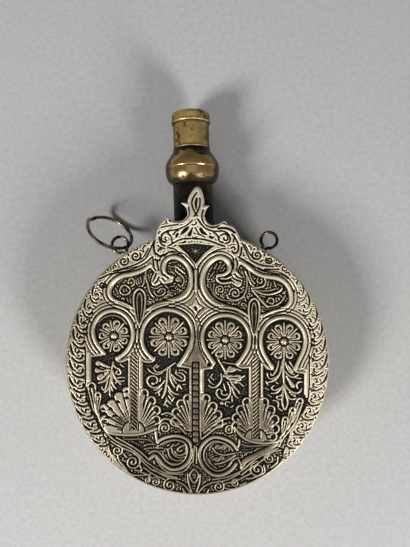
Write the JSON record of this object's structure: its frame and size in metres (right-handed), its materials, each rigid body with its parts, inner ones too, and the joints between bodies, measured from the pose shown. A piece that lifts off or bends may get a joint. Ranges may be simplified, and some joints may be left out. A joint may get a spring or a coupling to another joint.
{
  "type": "powder flask",
  "caption": "Round drum-shaped metal flask with a chased silvered front, turned neck and knop, pull-off cap, two wire eyelets and a loose suspension ring.",
  "frame": {"origin": "middle of the flat back face that the flask lies on", "axes": "+Y up the neck, +Z out of the chased front, +X to the right seen from the front"},
  "size_m": [0.12, 0.1789, 0.0317],
  "materials": {
    "silvered_plaque": "silvered and chased, worn bright on the raised work, black in the recesses",
    "drum_brass": "aged, brown patina",
    "dark_brass": "near-black patina with worn spots",
    "knop_brass": "rubbed, dark in the hollows",
    "cap_brass": "satin, tarnished",
    "iron_wire": "dark drawn wire, worn to bright metal in places",
    "washer_leather": "plain"
  },
  "bodies": {
    "flask": {"back_plate": "drum_brass", "side_band": "drum_brass", "front_plate": "drum_brass", "front_plaque": "silvered_plaque", "neck_saddle": "dark_brass", "spout_tube": "drum_brass", "neck_sleeve": "dark_brass", "knop_lower": "knop_brass", "knop_upper": "knop_brass", "eyelet_left": "iron_wire", "eyelet_right": "iron_wire"},
    "cap": {"cap_tube": "cap_brass", "cap_crown": "cap_brass", "cap_washer": "washer_leather"},
    "ring": {"suspension_ring": "iron_wire"}
  },
  "joints": [
    {"name": "cap_slide", "type": "slide", "parent": "flask", "child": "cap", "axis": [0, 1, 0], "range_m": [0, 0.03]},
    {"name": "ring_swing", "type": "hinge", "parent": "flask", "child": "ring", "pos_m": [-0.0354, 0.05451, 0.0145], "axis": [0.6649, 0.1472, -0.7323], "range_deg": [-70, 115]}
  ]
}
